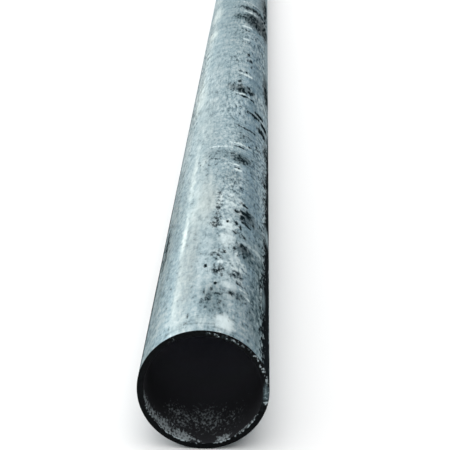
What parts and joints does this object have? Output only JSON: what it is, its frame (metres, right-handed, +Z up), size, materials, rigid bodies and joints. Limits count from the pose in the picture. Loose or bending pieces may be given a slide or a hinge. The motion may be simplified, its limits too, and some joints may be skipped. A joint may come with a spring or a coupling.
{
  "type": "galvanised steel tube",
  "caption": "Straight round tube of galvanised steel, plain inside and out, sawn square and deburred at both ends; raw stock for posts, rails and frames.",
  "frame": {"origin": "on the floor under the middle of the tube, where the tube's underside touches it", "axes": "+Y along the tube, away from the mouth that faces the viewer at -Y; +Z up"},
  "size_m": [0.0484, 1, 0.0481],
  "materials": {
    "galvanised_steel": "hot-dip galvanised, dull cool grey with pale streaks, wiping rings and dark stains; cut ends and bore dark"
  },
  "bodies": {
    "root": {"steel_tube": "galvanised_steel"}
  },
  "joints": []
}
